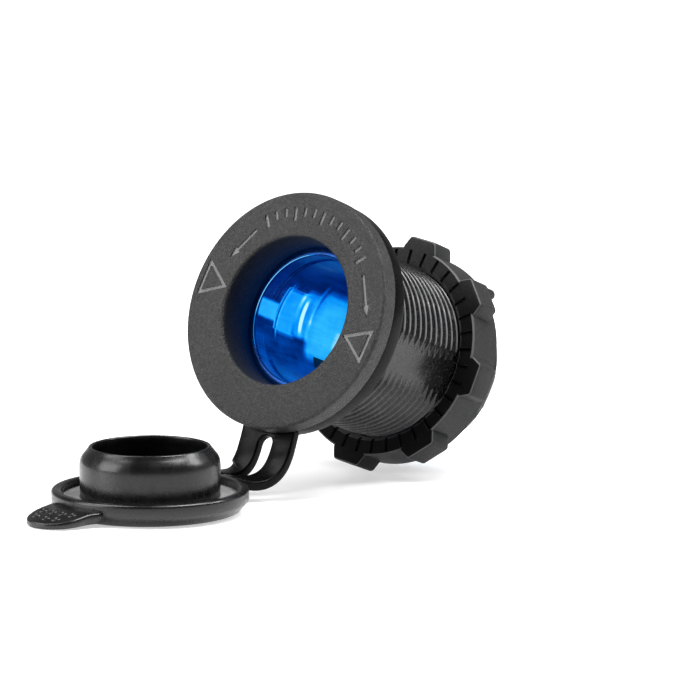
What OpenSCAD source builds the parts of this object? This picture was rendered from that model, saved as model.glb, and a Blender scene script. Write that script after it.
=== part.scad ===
// Panel-mounted 12 volt power socket with a ring nut and a tethered rubber cap.
// The socket's axis lies along Y. The mouth opens toward -Y, +Z is up and +X is to the right
// seen from the front. The origin is the centre of the seat that meets the panel's front.

/* [Flange] */
// Diameter of the round front flange
flange_d = 38.4; // [36:0.2:44]
// Thickness of the flange in front of the tether ring
flange_t = 3.5; // [2.5:0.1:5]
// Width of the bevel round the flange's front edge
flange_bevel = 0.5; // [0.2:0.1:0.9]
// Diameter of the mouth that the cap's plug enters
mouth_d = 23.6; // [23.3:0.1:24.2]
// Width of the chamfered lip round the mouth
mouth_lip = 1.0; // [0.4:0.1:1.3]
// Clock angle of the middle of the mark on the face, from the top
mark_clock = 13.5; // [-20:0.5:20]

/* [Barrel] */
// Diameter over the thread crests
barrel_d = 28.6; // [28:0.1:30]
// Distance between two thread crests
thread_pitch = 1.5; // [1.2:0.1:2]
// Depth of the thread
thread_depth = 0.65; // [0.4:0.05:0.8]
// Distance from the flange's face to the barrel's rear end
barrel_end = 41.4; // [40.4:0.2:46]
// Depth that each flat cuts below the thread crests
flat_cut = 0.82; // [0.5:0.02:0.9]

/* [Contact shell] */
// Inner diameter of the metal receptacle
shell_id = 21.0; // [20.8:0.1:21.2]
// Wall of the drawn metal shell
shell_wall = 0.5; // [0.4:0.05:0.6]
// Distance from the flange's face to the shell's front lip
shell_start = 6.4; // [5.5:0.1:8]
// Distance from the flange's face to the outside of the shell's floor
shell_end = 37.8; // [36:0.2:37.8]
// Depth of the two pockets stamped outward in the shell's wall
pocket_h = 0.5; // [0.3:0.05:0.5]
// Length of a stamped pocket along the axis
pocket_len = 8.6; // [6:0.2:12]
// Inner radius of the drawn corner between the shell's wall and its floor
shell_corner = 2.3; // [2.2:0.05:2.4]
// Distance from the flange's face to the bead pressed round the shell
bead_place = 9.6; // [8.6:0.1:10]
// Height of the bead
bead_h = 0.3; // [0.1:0.05:0.4]
// Diameter of the hole in the shell's floor round the centre contact
floor_hole_d = 8.0; // [7:0.2:9]
// Width of the window cut in the shell's wall
window_w = 2.2; // [1.4:0.1:3]
// Length of the window along the axis
window_len = 3.8; // [2.6:0.2:5]
// Distance from the flange's face to the middle of the window
window_place = 25; // [23.6:0.2:28]
// Clock angle of the window, from the top
window_clock = -106; // [-112:1:-100]

/* [Ring nut] */
// Outer diameter of the nut between its lugs
nut_d = 35.0; // [33:0.2:36.4]
// Diameter over the nut's lugs
lug_d = 38.6; // [37.6:0.1:42]
// Number of lugs
lug_count = 8; // [6:1:8]
// Width of a lug across its tip
lug_tip_w = 5.2; // [3:0.2:6]
// Width of a lug at its root
lug_root_w = 6.8; // [6.4:0.2:8]
// Length of the nut's plain ring along the axis
nut_len = 7.1; // [5.6:0.1:9]
// Length of a lug along the axis
lug_len = 4.9; // [4:0.1:5.6]
// Number of grooves in the nut's gripping face
groove_count = 36; // [24:1:40]
// Width of one groove
groove_w = 0.9; // [0.5:0.1:1.2]
// Depth of one groove
groove_deep = 0.6; // [0.4:0.1:1]
// Distance from the flange's face to the nut's gripping face, as stored
nut_place = 28.0; // [12:0.5:33]
// Radial clearance between the nut's bore and the thread crests
nut_clear = 0.05; // [0.03:0.01:0.1]

/* [Tether ring] */
// Outer diameter of the rubber ring behind the flange
ring_d = 37.2; // [35:0.2:38.4]
// Thickness of the rubber ring
ring_t = 1.8; // [1.2:0.1:2.4]
// Radial clearance between the ring's hole and the thread crests
ring_clear = 0.15; // [0.05:0.05:0.4]

/* [Strap] */
// Width of the strap over both of its legs
strap_w = 10.8; // [9:0.2:13]
// Thickness of the strap
strap_t = 1.5; // [1:0.1:1.8]
// Width of the slot between the legs
slot_w = 2.6; // [1.6:0.2:4]
// Gap between the strap's rounded root and the stub that it bends against
fold_gap = 0.3; // [0.3:0.02:0.4]

/* [Cap] */
// Outer diameter of the cap's dish
cap_d = 30.4; // [29:0.2:33]
// Height of the dish's rim
cap_h = 3.5; // [3:0.1:4.5]
// Wall of the dish's rim
cap_rim_w = 1.6; // [1.2:0.1:2.4]
// Thickness of the dish's floor
cap_floor = 1.2; // [0.8:0.1:1.8]
// Width of the chamfer round the bottom of the dish
cap_chamfer = 1.2; // [0.6:0.1:1.6]
// Largest diameter of the hollow plug
plug_d = 21.7; // [20.8:0.1:22]
// Diameter of the plug's open end
plug_tip_d = 18.7; // [17.6:0.1:19.4]
// Height of the plug's open end above the underside of the cap
plug_h = 10.0; // [9:0.1:10.6]
// Wall of the plug
plug_wall = 1.3; // [1:0.1:1.8]
// Distance from the cap's centre to the tip of its pull tab
tab_reach = 22.9; // [20:0.1:26]
// Radius of the pull tab's rounded end
tab_r = 6.3; // [5:0.1:8]
// Thickness of the pull tab
tab_t = 1.6; // [1:0.1:2]
// Turn of the pull tab away from straight opposite the strap
tab_turn = 6.5; // [-10:0.5:10]
// Sideways place of the open cap, measured from the axis
cap_side = -4.3; // [-6:0.1:0]
// Distance of the open cap's underside in front of the flange's face
cap_front = 16.3; // [15:0.1:17]
// Distance of the open cap's underside below the flange's edge
cap_drop = 16.9; // [16.4:0.1:18.4]
// Tilt of the open cap, as the socket leans back on a table
cap_tilt = 20.3; // [18:0.1:24]

/* [Terminals] */
// Clock angle by which the terminals and the lamp are turned, from the top
terminal_clock = 9.5; // [-15:0.5:15]
// Width of a blade terminal
blade_w = 6.3; // [4.8:0.1:6.4]
// Thickness of a blade terminal
blade_t = 0.8; // [0.5:0.1:0.9]
// Distance from the rear plate's back to the tips of the blades
blade_end = 7.9; // [6.5:0.1:10]
// Distance of the positive blade from the axis
positive_x = 6.4; // [6:0.1:7]
// Distance of the negative blade from the axis
negative_x = 9.6; // [9.4:0.1:10]
// Diameter of the centre contact's stud
stud_d = 4.0; // [3:0.1:4]
// Diameter of the centre contact's head
contact_d = 7.2; // [6.4:0.1:7.6]
// Thickness of the insulating plate that closes the rear
plate_t = 2.4; // [2:0.1:2.6]

/* [Lamp] */
// Diameter of the lamp's lens
lamp_d = 3.0; // [2:0.1:3]
// How far the lamp's lens stands out of the shell's floor
lamp_out = 2.0; // [1.6:0.1:2.6]
// Distance of the lamp from the axis
lamp_r = 7.4; // [7.2:0.1:7.8]
// Clock angle of the lamp, from the terminals' top
lamp_clock = 140; // [136:1:150]

/* [Hidden] */

$fn = 96;
eps = 0.01;
fit_gap = 0.05;

// The seat on the panel lies behind the flange and the tether ring
face_y = -(flange_t + ring_t);
flange_r = flange_d / 2;
mouth_r = mouth_d / 2;
barrel_r = barrel_d / 2;
root_r = barrel_r - thread_depth;
flat_r = barrel_r - flat_cut;
shell_r = shell_id / 2 + shell_wall;
shell_bore_r = shell_r + pocket_h + fit_gap;
lip_r = mouth_r - fit_gap;
floor_in = shell_end - shell_wall;

// The thread starts behind a plain register that carries the tether ring
register_past = 0.4;
thread_lead = 0.4;
register_end = flange_t + ring_t + register_past;
thread_start = register_end + thread_lead;
thread_end_margin = 0.6;
thread_turns = floor((barrel_end - thread_end_margin - thread_start) / thread_pitch);
crest_from = 0.28;
crest_to = 0.6;
ridge_end = 0.88;

// The pockets and the bead in the shell's wall
pocket_start = 11.4;
pocket_half_angle = 20;
bead_half = 0.6;
corner_steps = 5;
hole_lead = 0.3;

// The rear plate sits in a counterbore against the shell's floor
plate_ledge = 0.8;
plate_r = shell_bore_r + plate_ledge;
plate_front = shell_end + fit_gap;
plate_back = plate_front + plate_t;
plate_seat = shell_end;

// The stack on the centre contact's stud, counted from the flange's face
insulator_t = 1.0;
insulator_lap = 1.2;
insulator_r = floor_hole_d / 2 + insulator_lap;
contact_t = 1.2;
washer_t = 0.9;
washer_split = 0.5;
hex_h = 2.4;
hex_af = 7.0;
stud_r = stud_d / 2;
stud_hole_r = stud_r + fit_gap;
washer_rim = 1.5;
washer_r = stud_r + washer_rim;
blade_back = plate_back + blade_t;
blade_tip = plate_back + blade_end;
washer_back = blade_back + washer_t;
hex_back = washer_back + hex_h;
stud_tail = 1.0;

// The blades' feet, points and holes
blade_point = 0.9;
blade_hole_back = 3.2;
blade_hole_r = 0.8;
foot_past_stud = 1.4;
foot_past_rivet = 0.2;

// Rear rivet of the negative blade
rivet_r = 1.2;
rivet_x = 6.9;
rivet_head_r = 1.6;
rivet_head_t = 0.6;

// The lamp, its resistor and its wires, which end on the lower edges of the blades
lamp_collar = 0.8;
lamp_collar_w = 0.4;
lamp_front = floor_in - lamp_out;
lamp_hole_r = lamp_d / 2 + 2 * fit_gap;
lamp_at = [lamp_r * sin(lamp_clock), 0, lamp_r * cos(lamp_clock)];
wire_r = 0.3;
wire_gap = 1.1;
wire_out = 1.5;
wire_y = face_y + plate_back + lamp_collar + wire_out;
resistor_r = 0.9;
resistor_len = 3.4;
resistor_x = -2.4;

// The nut's lugs and its bore's chamfer
lug_clock = 9;
lug_bury = 1;
nut_chamfer = 0.75;
groove_margin = 0.4;

// The open cap turns about one slanting axis until its plug is in the mouth
cap_open = [cap_side, face_y - cap_front, -(flange_r + cap_drop)];
cap_closed = [0, face_y - cap_h - fit_gap, 0];
plug_open = [0, -sin(cap_tilt), cos(cap_tilt)];
plug_closed = [0, 1, 0];
fold_cross = cross(plug_closed - plug_open, cap_closed - cap_open);
fold_axis = fold_cross / norm(fold_cross);
open_flat = plug_open - (plug_open * fold_axis) * fold_axis;
closed_flat = plug_closed - (plug_closed * fold_axis) * fold_axis;
fold_angle = acos(open_flat * closed_flat / (norm(open_flat) * norm(closed_flat)));
fold_way = cap_closed - cap_open;
fold_side = cross(fold_axis, fold_way / norm(fold_way));
fold_mid = (cap_open + cap_closed) / 2 - fold_side * norm(fold_way) / 2 / tan(fold_angle / 2);
fold_x = -0.3;
fold_point = fold_mid + fold_axis * (fold_x - fold_mid[0]) / fold_axis[0];
bend_r = strap_t / 2;

// The strap's route from the fold to the dish's edge, as a curve with four control points
table_way = [0, cos(cap_tilt), sin(cap_tilt)];
table_up = plug_open;
strap_bottom = 1.3;
strap_lift = strap_bottom + strap_t / 2;
strap_end = cap_open + table_way * (cap_d / 2 - cap_rim_w / 2) + table_up * strap_lift;
strap_pull = 5.4;
strap_root_way = unit([-0.05, -0.12, -1]);
slot_end = 0.67;
strap_steps = 15;
strap_untwist = 0.5;

// The stub of the strap that stays with the ring
stub_bury = 1.4;
stub_drop = 1;
knee_lap = 0.3;

// The plug's bulge and the tab
plug_side_from = 4.4;
plug_side_to = 7.4;
plug_turn_h = 1;
plug_turn_share = 0.22;
plug_hollow_foot = 1;
plug_foot_in = 0.3;
plug_lip_w = 0.5;
plug_lip_h = 0.8;
tab_lift = 0.6;

function unit(v) = v / norm(v);
function mix(a, b, t) = a * (1 - t) + b * t;
function bezier(a, b, c, d, t) =
    a * pow(1 - t, 3) + b * 3 * t * pow(1 - t, 2) + c * 3 * t * t * (1 - t) + d * pow(t, 3);
function bezier_way(a, b, c, d, t) =
    unit((b - a) * pow(1 - t, 2) + (c - b) * 2 * t * (1 - t) + (d - c) * t * t);
function strap_at(t) = bezier(fold_point, fold_point + strap_root_way * strap_pull,
    strap_end + table_way * strap_pull, strap_end, t);
function strap_way(t) = bezier_way(fold_point, fold_point + strap_root_way * strap_pull,
    strap_end + table_way * strap_pull, strap_end, t);
function strap_across(t) = unit(mix(fold_axis, [1, 0, 0], min(1, t / strap_untwist)));
function strap_out(t) = unit(cross(strap_way(t), strap_across(t)));

// Places its children on the axis, pointing to the rear, at a distance from the flange's face
module from_face(distance) {
    translate([0, face_y + distance, 0])
        rotate([-90, 0, 0])
            children();
}

// Turns its children round the axis, clockwise from the top as seen from the front
module at_clock(angle) {
    rotate([0, angle, 0])
        children();
}

// Turns its children with the terminals
module at_terminals() {
    at_clock(terminal_clock)
        children();
}

module tube(outer, inner, length) {
    difference() {
        cylinder(r = outer, h = length);
        translate([0, 0, -eps])
            cylinder(r = inner, h = length + 2 * eps);
    }
}

// One thread ridge of the outline: root, crest and back to the root
function ridge(y) = [
    [root_r, y],
    [barrel_r, y + thread_pitch * crest_from],
    [barrel_r, y + thread_pitch * crest_to],
    [root_r, y + thread_pitch * ridge_end]
];
thread_line = [for (i = [0:thread_turns - 1]) each ridge(thread_start + i * thread_pitch)];

module socket_body() {
    color([0.1, 0.1, 0.105])
    difference() {
        from_face(0)
            rotate_extrude()
                polygon(concat(
                    [
                        [mouth_r, mouth_lip],
                        [mouth_r + mouth_lip, 0],
                        [flange_r - flange_bevel, 0],
                        [flange_r, flange_bevel],
                        [flange_r, flange_t],
                        [barrel_r, flange_t],
                        [barrel_r, register_end],
                        [root_r, thread_start - eps]
                    ],
                    thread_line,
                    [
                        [root_r, barrel_end],
                        [plate_r + fit_gap, barrel_end],
                        [plate_r + fit_gap, plate_seat],
                        [shell_bore_r, plate_seat],
                        [shell_bore_r, shell_start + shell_wall],
                        [mouth_r, shell_start + shell_wall]
                    ]));
        for (side = [-90, 90])
            at_clock(mark_clock + side)
                translate([-barrel_r, face_y + register_end, flat_r])
                    cube([2 * barrel_r, barrel_end, flange_r]);
    }
}

// Points of a round corner between the shell's wall and its floor, about one shared centre
function drawn_corner(radius, steps) = [
    for (i = steps) let (turn = 90 * i / corner_steps) [
        shell_id / 2 - shell_corner + radius * cos(turn),
        floor_in - shell_start - shell_corner + radius * sin(turn)
    ]
];

module contact_shell() {
    bead_at = bead_place - shell_start;
    color([0.25, 0.45, 0.95])
    difference() {
        union() {
            from_face(shell_start)
                rotate_extrude()
                    polygon([
                        [shell_id / 2, 0],
                        [lip_r, 0],
                        [lip_r, shell_wall],
                        [shell_r, shell_wall],
                        [shell_r, bead_at - bead_half],
                        [shell_r + bead_h, bead_at - bead_half / 3],
                        [shell_r + bead_h, bead_at + bead_half / 3],
                        [shell_r, bead_at + bead_half],
                        each drawn_corner(shell_corner + shell_wall, [0:corner_steps]),
                        [floor_hole_d / 2, shell_end - shell_start],
                        [floor_hole_d / 2, floor_in - shell_start],
                        each drawn_corner(shell_corner, [corner_steps:-1:0]),
                        [shell_id / 2, bead_at + bead_half],
                        [shell_id / 2 + bead_h, bead_at + bead_half / 3],
                        [shell_id / 2 + bead_h, bead_at - bead_half / 3],
                        [shell_id / 2, bead_at - bead_half]
                    ]);
            for (side = [-90, 90])
                at_clock(mark_clock + side)
                    pocket_ring(shell_r - eps, shell_r + pocket_h, pocket_start, pocket_len);
        }
        for (side = [-90, 90])
            at_clock(mark_clock + side)
                pocket_ring(shell_id / 2 - eps, shell_id / 2 + pocket_h,
                    pocket_start + shell_wall / 2, pocket_len - shell_wall);
        at_clock(window_clock)
            translate([-window_w / 2, face_y + window_place - window_len / 2, shell_id / 2 - hole_lead])
                cube([window_w, window_len, shell_wall + 2 * hole_lead]);
        lamp_place()
            translate([0, 0, floor_in - hole_lead])
                cylinder(r = lamp_hole_r, h = shell_wall + 2 * hole_lead);
        at_terminals()
            from_face(floor_in - hole_lead)
                translate([rivet_x, 0, 0])
                    cylinder(r = rivet_r + fit_gap, h = shell_wall + 2 * hole_lead);
    }
}

// A stretch of ring with sloping ends, for a pocket's outside or its hollow
module pocket_ring(inner, outer, start, length) {
    from_face(start)
        rotate([0, 0, -90 - pocket_half_angle])
            rotate_extrude(angle = 2 * pocket_half_angle)
                polygon([
                    [inner, 0],
                    [outer, outer - inner],
                    [outer, length - outer + inner],
                    [inner, length]
                ]);
}

module contact_insulator() {
    color([0.55, 0.4, 0.25])
    from_face(floor_in - insulator_t)
        tube(insulator_r, stud_hole_r, insulator_t);
}

module centre_contact() {
    color([0.8, 0.65, 0.3])
    union() {
        from_face(floor_in - insulator_t - contact_t)
            cylinder(r1 = contact_d / 2 - contact_t / 2, r2 = contact_d / 2, h = contact_t);
        from_face(floor_in - insulator_t - eps)
            cylinder(r = stud_r, h = hex_back + stud_tail - floor_in + insulator_t);
    }
}

module rear_plate() {
    color([0.12, 0.12, 0.13])
    difference() {
        from_face(plate_front)
            cylinder(r = plate_r, h = plate_t);
        from_face(plate_front - eps)
            cylinder(r = stud_hole_r, h = plate_t + 2 * eps);
        at_terminals()
            from_face(plate_front - eps)
                translate([rivet_x, 0, 0])
                    cylinder(r = rivet_r + fit_gap, h = plate_t + 2 * eps);
        lamp_place()
            translate([0, 0, plate_front - eps])
                cylinder(r = lamp_hole_r, h = plate_t + 2 * eps);
    }
}

// A blade with a pierced foot that lies on the rear plate
module blade(x, foot_from, hole_x, hole_r) {
    foot_y = face_y + plate_back;
    difference() {
        union() {
            translate([min(foot_from, x), foot_y, -blade_w / 2])
                cube([abs(x - foot_from), blade_t, blade_w]);
            translate([x - blade_t / 2, foot_y, -blade_w / 2])
                cube([blade_t, blade_end, blade_w]);
        }
        translate([hole_x, foot_y - eps, 0])
            rotate([-90, 0, 0])
                cylinder(r = hole_r, h = blade_t + 2 * eps);
        blade_tip_cuts(x);
    }
}

// The cuts that point a blade's tip and pierce it
module blade_tip_cuts(x) {
    for (side = [-1, 1])
        translate([x, face_y + blade_tip, side * blade_w / 2])
            rotate([45, 0, 0])
                cube([2 * blade_t, blade_point * sqrt(2), blade_point * sqrt(2)], center = true);
    translate([x - blade_t, face_y + blade_tip - blade_hole_back, 0])
        rotate([0, 90, 0])
            cylinder(r = blade_hole_r, h = 2 * blade_t);
}

module positive_blade() {
    color([0.8, 0.8, 0.78])
    at_terminals()
        blade(-positive_x, stud_r + foot_past_stud, 0, stud_hole_r);
}

module negative_blade() {
    color([0.8, 0.8, 0.78])
    at_terminals()
        blade(negative_x, rivet_x - rivet_head_r - foot_past_rivet, rivet_x, rivet_r + fit_gap);
}

module negative_rivet() {
    color([0.75, 0.75, 0.75])
    at_terminals()
        translate([rivet_x, 0, 0]) {
            from_face(floor_in - rivet_head_t)
                cylinder(r = rivet_head_r, h = rivet_head_t);
            from_face(floor_in - eps)
                cylinder(r = rivet_r, h = blade_back - floor_in + 2 * eps);
            from_face(blade_back)
                cylinder(r1 = rivet_head_r, r2 = rivet_r, h = rivet_head_t);
        }
}

module spring_washer() {
    color([0.7, 0.7, 0.72])
    difference() {
        from_face(blade_back)
            tube(washer_r, stud_hole_r, washer_t);
        from_face(blade_back - eps)
            translate([0, -washer_split / 2, 0])
                cube([2 * washer_r, washer_split, washer_t + 2 * eps]);
    }
}

module hex_nut() {
    color([0.75, 0.72, 0.6])
    at_terminals()
        from_face(washer_back)
            difference() {
                cylinder(d = hex_af / cos(30), h = hex_h, $fn = 6);
                translate([0, 0, -eps])
                    cylinder(r = stud_hole_r, h = hex_h + 2 * eps);
            }
}

// Places its children on the lamp's own axis, measured from the flange's face
module lamp_place() {
    at_clock(terminal_clock + lamp_clock)
        translate([0, 0, lamp_r])
            from_face(0)
                children();
}

module lamp() {
    color([0.35, 0.6, 1])
    lamp_place() {
        translate([0, 0, lamp_front + lamp_d / 2])
            sphere(d = lamp_d);
        translate([0, 0, lamp_front + lamp_d / 2])
            cylinder(d = lamp_d, h = plate_back - lamp_front - lamp_d / 2);
        translate([0, 0, plate_back])
            cylinder(r = lamp_d / 2 + lamp_collar_w, h = lamp_collar);
    }
}

// A round bar between two points
module bar(from, to, radius) {
    way = to - from;
    translate(from)
        rotate([0, acos(way[2] / norm(way)), atan2(way[1], way[0])])
            cylinder(r = radius, h = norm(way));
}

// A bent wire through a list of points
module wire(route) {
    for (i = [1:len(route) - 1])
        bar(route[i - 1], route[i], wire_r);
    for (i = [1:len(route) - 2])
        translate(route[i])
            sphere(r = wire_r);
}

// The way of a lamp's wire: out of the collar, across, and up to a blade's lower edge
function wire_route(side, blade_x) = [
    [lamp_at[0] + side * wire_gap, face_y + plate_back + lamp_collar, lamp_at[2]],
    [lamp_at[0] + side * wire_gap, wire_y, lamp_at[2]],
    [blade_x, wire_y, lamp_at[2]],
    [blade_x, wire_y, -blade_w / 2]
];

module lamp_resistor() {
    color([0.8, 0.7, 0.5])
    at_terminals() {
        wire(wire_route(-1, -positive_x));
        translate([resistor_x, wire_y, lamp_at[2]])
            rotate([0, 90, 0])
                cylinder(r = resistor_r, h = resistor_len);
    }
}

module lamp_lead() {
    color([0.75, 0.75, 0.75])
    at_terminals()
        wire(wire_route(1, negative_x));
}

// A lug that narrows from its root on the ring to its tip
module lug() {
    from_face(nut_place)
        linear_extrude(lug_len)
            polygon([
                [-lug_root_w / 2, lug_bury - nut_d / 2],
                [lug_root_w / 2, lug_bury - nut_d / 2],
                [lug_root_w / 2, -nut_d / 2],
                [lug_tip_w / 2, -lug_d / 2],
                [-lug_tip_w / 2, -lug_d / 2],
                [-lug_root_w / 2, -nut_d / 2]
            ]);
}

module ring_nut() {
    color([0.13, 0.13, 0.135])
    difference() {
        union() {
            from_face(nut_place)
                cylinder(d = nut_d, h = nut_len);
            for (i = [0:lug_count - 1])
                at_clock(lug_clock + i * 360 / lug_count)
                    lug();
        }
        from_face(nut_place - eps)
            cylinder(r = barrel_r + nut_clear, h = nut_len + 2 * eps);
        from_face(nut_place - eps)
            cylinder(r1 = barrel_r + nut_clear + nut_chamfer, r2 = barrel_r + nut_clear, h = nut_chamfer);
        for (i = [0:groove_count - 1])
            at_clock(lug_clock + (i + 0.5) * 360 / groove_count)
                translate([-groove_w / 2, face_y + nut_place - eps, barrel_r])
                    cube([groove_w, groove_deep + eps, nut_d / 2 - groove_margin - barrel_r]);
    }
}

module tether_ring() {
    color([0.09, 0.09, 0.095])
    difference() {
        union() {
            from_face(flange_t)
                cylinder(d = ring_d, h = ring_t);
            stub();
        }
        from_face(flange_t - eps)
            cylinder(r = barrel_r + ring_clear, h = ring_t + 2 * eps);
    }
}

// The strap's first stretch stays with the ring: two legs that drop past the flange's edge,
// then slant forward and end just short of the fold
module stub() {
    top = [fold_point[0], face_y + flange_t + ring_t / 2, stub_bury - ring_d / 2];
    knee = [top[0], top[1], -flange_r - stub_drop];
    way = unit(fold_point - knee);
    low = fold_point - way * (bend_r + fold_gap);
    out = unit(cross(way, fold_axis));
    leg = (strap_w - slot_w) / 4;
    for (side = [-1, 1]) {
        translate(fold_axis * side * (slot_w / 2 + leg))
            slab(top, knee, fold_axis * leg, out * bend_r);
        translate(fold_axis * side * (slot_w / 2 + leg))
            slab(knee - way * knee_lap, low, fold_axis * leg, out * bend_r);
    }
}

// A flat bar between two points, as wide and thick as its two half vectors say
module slab(from, to, half_across, half_out) {
    polyhedron(
        points = [
            from - half_across - half_out, from + half_across - half_out,
            from + half_across + half_out, from - half_across + half_out,
            to - half_across - half_out, to + half_across - half_out,
            to + half_across + half_out, to - half_across + half_out
        ],
        faces = [[0, 1, 2, 3], [7, 6, 5, 4], [4, 5, 1, 0], [5, 6, 2, 1], [6, 7, 3, 2], [7, 4, 0, 3]]);
}

// One row of points across the strap: its four columns, first below and then above
function strap_row(place, across, out) =
    [for (side = [-1, 1], x = strap_columns) place + across * x + out * side];

// The rows that round the strap's root, then the rows along its route
function root_row(b) =
    strap_row(strap_at(0) - strap_way(0) * bend_r * sin(b), strap_across(0), strap_out(0) * bend_r * cos(b));
function route_row(t) = strap_row(strap_at(t), strap_across(t), strap_out(t) * bend_r);

strap_columns = [-strap_w / 2, -slot_w / 2, slot_w / 2, strap_w / 2];
root_turns = [75, 50, 25];
strap_rows = concat([for (b = root_turns) root_row(b)], [for (i = [0:strap_steps]) route_row(i / strap_steps)]);
slot_rows = len(root_turns) + round(slot_end * strap_steps);

// Two triangles between four points of the strap
function pair(a, b, c, d) = [[a, b, c], [a, c, d]];

// The strap as one closed skin: two legs from the root, joined past the end of the slot
module tether_strap() {
    last = len(strap_rows) - 1;
    row = 2 * len(strap_columns);
    top = len(strap_columns);
    color([0.09, 0.09, 0.095])
    polyhedron(
        points = [for (line = strap_rows) each line],
        faces = concat(
            [for (i = [0:last - 1], c = [0:2]) let (k = i * row + c)
                if (c != 1 || i >= slot_rows)
                    each concat(
                        pair(k, k + 1, k + row + 1, k + row),
                        pair(k + top, k + top + row, k + top + row + 1, k + top + 1))],
            [for (i = [0:last - 1], c = [0:3]) let (k = i * row + c)
                if (c == 0 || c == 3 || i < slot_rows)
                    each (c == 0 || c == 2
                        ? pair(k, k + row, k + row + top, k + top)
                        : pair(k, k + top, k + row + top, k + row))],
            [for (c = [0, 2]) each pair(c, c + top, c + top + 1, c + 1)],
            pair(slot_rows * row + 1, slot_rows * row + 1 + top, slot_rows * row + 2 + top, slot_rows * row + 2),
            [for (c = [0:2]) let (k = last * row + c) each pair(k, k + 1, k + 1 + top, k + top)]));
}

// Stands its children on the open cap's underside, with the strap toward +Y
module on_open_cap() {
    translate(cap_open)
        rotate([cap_tilt, 0, 0])
            children();
}

module cap() {
    color([0.09, 0.09, 0.095])
    on_open_cap() {
        dish();
        plug();
        pull_tab();
    }
}

module dish() {
    cap_r = cap_d / 2;
    rotate_extrude()
        polygon([
            [0, 0],
            [cap_r - cap_chamfer, 0],
            [cap_r, cap_chamfer],
            [cap_r, cap_h],
            [cap_r - cap_rim_w, cap_h],
            [cap_r - cap_rim_w, cap_floor],
            [0, cap_floor]
        ]);
}

// A hollow plug that bulges, then draws in to its open end
module plug() {
    side_r = plug_d / 2;
    tip_r = plug_tip_d / 2;
    rotate_extrude()
        polygon([
            [side_r - plug_foot_in - plug_wall, cap_floor - eps],
            [side_r - plug_foot_in, cap_floor - eps],
            [side_r, plug_side_from],
            [side_r, plug_side_to],
            [mix(side_r, tip_r, plug_turn_share), plug_side_to + plug_turn_h],
            [tip_r, plug_h],
            [tip_r - plug_lip_w, plug_h],
            [tip_r - plug_lip_w, plug_h - plug_lip_h],
            [side_r - plug_wall, plug_side_to],
            [side_r - plug_wall, cap_floor + plug_hollow_foot]
        ]);
}

module pull_tab() {
    difference() {
        rotate([0, 0, -tab_turn])
            translate([0, tab_r - tab_reach, tab_lift])
                cylinder(r = tab_r, h = tab_t);
        translate([0, 0, -eps])
            cylinder(r = cap_d / 2 - cap_rim_w / 2, h = cap_h);
    }
}

socket_body();
tether_ring();
tether_strap();
cap();
ring_nut();
contact_shell();
contact_insulator();
centre_contact();
rear_plate();
positive_blade();
negative_blade();
negative_rivet();
spring_washer();
hex_nut();
lamp();
lamp_resistor();
lamp_lead();
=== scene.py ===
"""The looks of a panel-mounted 12 volt power socket with a ring nut and a tethered rubber cap."""

import math

import bmesh
import bpy
from mathutils import Matrix, Vector


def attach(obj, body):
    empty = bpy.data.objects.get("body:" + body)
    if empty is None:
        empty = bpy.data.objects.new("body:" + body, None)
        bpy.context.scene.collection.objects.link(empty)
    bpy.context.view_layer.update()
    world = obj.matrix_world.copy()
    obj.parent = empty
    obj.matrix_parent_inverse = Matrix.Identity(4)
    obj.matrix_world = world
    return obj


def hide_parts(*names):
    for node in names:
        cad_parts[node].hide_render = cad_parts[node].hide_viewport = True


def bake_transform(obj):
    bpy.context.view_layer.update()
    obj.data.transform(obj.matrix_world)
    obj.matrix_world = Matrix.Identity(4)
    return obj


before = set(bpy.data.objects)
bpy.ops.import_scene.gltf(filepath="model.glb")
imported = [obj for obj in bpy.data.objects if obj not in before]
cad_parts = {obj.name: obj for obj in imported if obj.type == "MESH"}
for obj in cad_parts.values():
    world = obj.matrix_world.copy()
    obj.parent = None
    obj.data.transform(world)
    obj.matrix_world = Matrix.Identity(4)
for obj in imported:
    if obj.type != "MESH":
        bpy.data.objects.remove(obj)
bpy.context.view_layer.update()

# Sizes of the drawn model in millimetres, some of which differ a little from those of the solids
MM = 0.001
FACE_Y = -5.3
FLANGE_R = 19.2
FLANGE_T = 3.1
FLANGE_BEVEL = 0.5
MOUTH_R = 12.0
MOUTH_LIP = 0.55
MARK_CLOCK = 13.5
MARK_STROKE = 0.6
MARK_DEEP = 0.22
RING_R = 19.05
RING_T = 2.7
BARREL_R = 14.3
BARREL_END = 41.4
PITCH = 1.5
THREAD_DEPTH = 0.65
THREAD_START = 6.1
FLAT_R = 13.48
LEDGE = 6.9
BORE_R = 11.55
PLATE_R = 12.4
PLATE_SEAT = 37.8
SHELL_R = 10.5
SHELL_WALL = 0.5
SHELL_START = 6.4
SHELL_FLOOR = 37.3
SHELL_CORNER = 2.3
FLOOR_HOLE_R = 4.0
BEAD_AT = 9.6
BEAD_H = 0.3
POCKET_AT = 11.4
POCKET_LEN = 8.6
POCKET_H = 0.5
POCKET_HALF = 20
WINDOW_W = 2.2
WINDOW_LEN = 3.8
WINDOW_AT = 22.9
WINDOW_CLOCK = -112
WINDOW_CUT = (-1.5, 1)
NUT_AT = 28.0
NUT_R = 17.5
NUT_LEN = 7.1
NUT_BORE_R = 14.35
LUG_R = 19.3
LUG_LEN = 4.9
LUG_TIP = 5.2
LUG_ROOT = 6.8
LUG_CLOCK = 9.0
LUG_BEVEL = 0.5
LUGS = 8
STUB_TURN = 5
STUB_HALF = 0.9
STUB_ABOVE = 1.1
STUB_RISE = 0.7
STUB_LEN = 2.0
STUB_OVERLAP = 0.4
GROOVES = 36
GROOVE_W = 0.6
GROOVE_DEEP = 0.45
CAP_R = 15.2
CAP_H = 3.5
CAP_RIM_W = 1.6
CAP_FLOOR = 1.2
CHANNEL_Z = 2.2
PLUG_R = 10.85
PLUG_TIP_R = 9.35
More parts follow.
